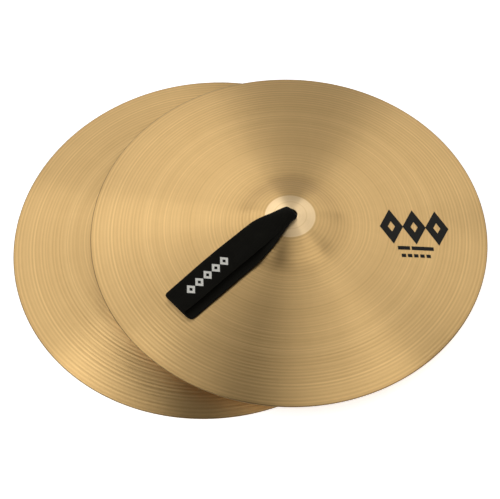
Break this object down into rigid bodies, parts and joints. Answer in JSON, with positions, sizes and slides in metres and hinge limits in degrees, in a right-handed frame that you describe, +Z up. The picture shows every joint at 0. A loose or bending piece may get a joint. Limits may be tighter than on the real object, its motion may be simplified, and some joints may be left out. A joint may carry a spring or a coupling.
{
  "type": "pair of hand cymbals",
  "caption": "Pair of lathed bronze hand cymbals with raised bells and black webbing hand straps, the front one lapped over and leaning on the rear one.",
  "frame": {"origin": "on the ground, at the middle of the pair's footprint", "axes": "+Z up, +X from the rear cymbal's axis towards the front cymbal's axis"},
  "size_m": [0.4263, 0.3556, 0.0686],
  "materials": {
    "bronze": "lathe-turned satin",
    "webbing": "woven nylon",
    "leather": "plain",
    "steel": "zinc plated",
    "thread": "waxed thread"
  },
  "bodies": {
    "rear_cymbal": {"rear_cymbal": "bronze"},
    "rear_tail": {"rear_strap_tail": "webbing", "rear_leather_washer": "leather", "rear_steel_washer": "steel", "rear_thread_whipping": "thread", "rear_cross_pin": "steel"},
    "rear_loop": {"rear_strap_loop": "webbing"},
    "front_cymbal": {"front_cymbal": "bronze"},
    "front_tail": {"front_strap_tail": "webbing", "front_leather_washer": "leather", "front_steel_washer": "steel", "front_thread_whipping": "thread", "front_cross_pin": "steel"},
    "front_loop": {"front_strap_loop": "webbing"}
  },
  "joints": [
    {"name": "front_lift", "type": "slide", "parent": "rear_cymbal", "child": "front_cymbal", "axis": [0, 0, 1], "range_m": [0, 0.3]},
    {"name": "rear_strap_swivel", "type": "hinge", "parent": "rear_cymbal", "child": "rear_tail", "pos_m": [-0.0353, 0, 0.043], "axis": [0, 0, 1], "continuous": true},
    {"name": "rear_strap_raise", "type": "hinge", "parent": "rear_tail", "child": "rear_loop", "pos_m": [-0.02355, 0, 0.0482], "axis": [0, -1, 0], "range_deg": [0, 80]},
    {"name": "front_strap_swivel", "type": "hinge", "parent": "front_cymbal", "child": "front_tail", "pos_m": [0.03953, 0.00211, 0.06035], "axis": [0.0843, 0.0491, 0.9952], "continuous": true},
    {"name": "front_strap_raise", "type": "hinge", "parent": "front_tail", "child": "front_loop", "pos_m": [0.0317, -0.00592, 0.06663], "axis": [-0.7061, 0.7077, 0.0249], "range_deg": [0, 100]}
  ],
  "couplings": [
    {"joint": "rear_strap_raise", "follows": "front_lift", "rad_per_m": 4.6537}
  ]
}
